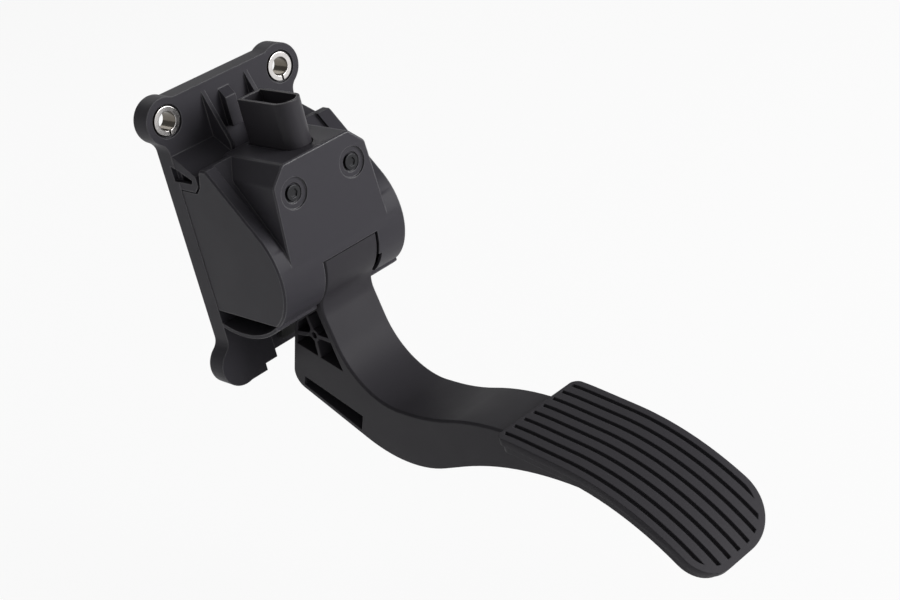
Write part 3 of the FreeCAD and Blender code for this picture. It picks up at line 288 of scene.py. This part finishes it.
def flat_faces(source, arched):
    """Copy of a mesh whose flat facets are merged into whole faces."""
    shape = bmesh.new()
    shape.from_mesh(source)
    bmesh.ops.remove_doubles(shape, verts=shape.verts, dist=WELD)
    if arched:
        even_strips(shape)
    limit = math.radians(FLAT_ANGLE)
    bmesh.ops.dissolve_limit(shape, angle_limit=limit, verts=shape.verts, edges=shape.edges)
    mesh = bpy.data.meshes.new(source.name + "_dressed")
    shape.to_mesh(mesh)
    shape.free()
    return mesh


def round_off(thing, width):
    """Break the sharp edges of a piece with small rounds."""
    bevel = thing.modifiers.new("edge_break", "BEVEL")
    bevel.width = width
    bevel.segments = BEVEL_STEPS
    bevel.limit_method = "ANGLE"
    bevel.angle_limit = math.radians(SHARP_ANGLE)
    bevel.use_clamp_overlap = True
    graph = bpy.context.evaluated_depsgraph_get()
    mesh = bpy.data.meshes.new_from_object(thing.evaluated_get(graph))
    thing.modifiers.clear()
    thing.data = mesh


def smooth(mesh):
    """Shade smooth, apart from the sharp edges."""
    for face in mesh.polygons:
        face.use_smooth = True
    mesh.set_sharp_from_angle(angle=math.radians(SHARP_ANGLE))


def share_normals(mesh):
    """Even out the shading of surfaces that run along X, such as the ribs of the tread."""
    count = len(mesh.polygons)
    facing = np.empty(count * 3)
    middle = np.empty(count * 3)
    area = np.empty(count)
    mesh.polygons.foreach_get("normal", facing)
    mesh.polygons.foreach_get("center", middle)
    mesh.polygons.foreach_get("area", area)
    facing = facing.reshape(count, 3)
    middle = middle.reshape(count, 3)[:, 1:]
    along = np.abs(facing[:, 0]) < ALONG_X
    least_match = math.cos(math.radians(SHARED_TURN))
    # A normal of zero leaves the corner as it is
    normals = [(0.0, 0.0, 0.0)] * len(mesh.loops)
    for face in mesh.polygons:
        if not along[face.index]:
            continue
        alike = along & (facing @ facing[face.index] > least_match)
        for loop in face.loop_indices:
            spot = np.array(mesh.vertices[mesh.loops[loop].vertex_index].co)[1:]
            apart = ((middle[alike] - spot) ** 2).sum(axis=1)
            weight = area[alike] / (apart + SHARED_REACH ** 2) ** 2
            total = weight @ facing[alike]
            normals[loop] = tuple(total / np.linalg.norm(total))
    mesh.normals_split_custom_set(normals)


def dress(node, body, slot):
    """Show a CAD node with rounded edges and its material."""
    solid = frame["nodes"][node]
    mesh = flat_faces(solid.data, node in ARCHED)
    thing = bpy.data.objects.new("dressed_" + node, mesh)
    bpy.context.scene.collection.objects.link(thing)
    bpy.context.view_layer.update()
    if node not in ROUND_WIRE:
        round_off(thing, EDGE_ROUNDS.get(node, USUAL_ROUND))
    smooth(thing.data)
    thing.data.materials.clear()
    thing.data.materials.append(MATERIALS[slot])
    if node in ARCHED:
        share_normals(thing.data)
    else:
        weighted = thing.modifiers.new("weighted", "WEIGHTED_NORMAL")
        weighted.keep_sharp = True
    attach(thing, body)
    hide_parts(node)
    if node in ROUND_WIRE:
        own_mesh(thing)


def dress_all():
    """Dress every node of the record."""
    slots = {row["node"]: row["material_slot"] for row in frame["record"]["subparts"]}
    for body, nodes in frame["record"]["behaviour"]["bodies"].items():
        for node in nodes:
            dress(node, body, slots[node])


# Stage

def middle_of(box):
    """Middle of a box given by its two corners."""
    low, high = box
    return (low + high) / 2


def seen_directly(tree):
    """One where a surface is seen by the camera or in a mirror or glass, else zero."""
    path = tree.nodes.new("ShaderNodeLightPath")
    total = path.outputs["Is Camera Ray"]
    for kind in ("Is Glossy Ray", "Is Transmission Ray"):
        join = tree.nodes.new("ShaderNodeMath")
        join.operation = "MAXIMUM"
        tree.links.new(total, join.inputs[0])
        tree.links.new(path.outputs[kind], join.inputs[1])
        total = join.outputs["Value"]
    return total


def whiten(tree, shader):
    """Lift a surface towards white where it is seen, keeping the shadows on it."""
    share = tree.nodes.new("ShaderNodeMath")
    share.operation = "MULTIPLY"
    share.inputs[1].default_value = WHITE_SHARE
    glow = tree.nodes.new("ShaderNodeEmission")
    glow.inputs["Color"].default_value = WHITE
    mix = tree.nodes.new("ShaderNodeMixShader")
    tree.links.new(seen_directly(tree), share.inputs[0])
    tree.links.new(share.outputs["Value"], mix.inputs["Fac"])
    tree.links.new(shader.outputs["BSDF"], mix.inputs[1])
    tree.links.new(glow.outputs["Emission"], mix.inputs[2])
    tree.links.new(mix.outputs["Shader"], tree.nodes["Material Output"].inputs["Surface"])


def make_floor():
    """Plain pale floor under the object, with a low wall far around it."""
    middle = middle_of(cad_box)
    shape = bmesh.new()
    raised = Matrix.Translation((0, 0, WALL_HEIGHT / 2))
    bmesh.ops.create_circle(shape, cap_ends=True, segments=ROUND_STEPS, radius=FLOOR_REACH)
    bmesh.ops.create_cone(
        shape, segments=ROUND_STEPS, radius1=FLOOR_REACH, radius2=FLOOR_REACH,
        depth=WALL_HEIGHT, matrix=raised)
    mesh = bpy.data.meshes.new("floor")
    shape.to_mesh(mesh)
    shape.free()
    floor = bpy.data.objects.new("floor", mesh)
    floor.location = (middle.x, middle.y, cad_box[0].z - FLOOR_DROP)
    bpy.context.scene.collection.objects.link(floor)
    material, tree, shader = new_material("pale_floor")
    shader.inputs["Base Color"].default_value = PALE
    shader.inputs["Roughness"].default_value = FLOOR_ROUGH
    whiten(tree, shader)
    mesh.materials.append(material)


def make_lamp(name, offset, side, power):
    """Square soft lamp that is turned to the middle of the object."""
    data = bpy.data.lights.new(name, "AREA")
    data.size = side
    data.energy = power
    lamp = bpy.data.objects.new(name, data)
    bpy.context.scene.collection.objects.link(lamp)
    lamp.location = middle_of(cad_box) + offset
    lamp.rotation_mode = "QUATERNION"
    lamp.rotation_quaternion = (-offset).to_track_quat("-Z", "Y")


def make_light():
    """Soft front light and a weaker one from the back."""
    make_lamp("front_lamp", FRONT_PLACE, FRONT_SIDE, FRONT_POWER)
    make_lamp("back_lamp", BACK_PLACE, BACK_SIDE, BACK_POWER)


def make_world():
    """Even, dim surround."""
    world = bpy.data.worlds.new("surround")
    world.use_nodes = True
    back = world.node_tree.nodes["Background"]
    back.inputs["Color"].default_value = WHITE
    back.inputs["Strength"].default_value = AMBIENT
    bpy.context.scene.world = world


def make_camera():
    """Camera at the photograph's place, turned about its own line of sight."""
    data = bpy.data.cameras.new("camera")
    data.lens = CAMERA_LENS
    data.sensor_width = SENSOR_WIDTH
    camera = bpy.data.objects.new("camera", data)
    bpy.context.scene.collection.objects.link(camera)
    camera.rotation_mode = "QUATERNION"
    look = (CAMERA_AIM - CAMERA_PLACE).to_track_quat("-Z", "Y")
    camera.location = CAMERA_PLACE
    camera.rotation_quaternion = look @ Quaternion((0, 0, 1), math.radians(CAMERA_ROLL))
    bpy.context.scene.camera = camera


dress_all()
make_floor()
make_light()
make_world()
make_camera()
bpy.context.scene.view_settings.view_transform = "Standard"
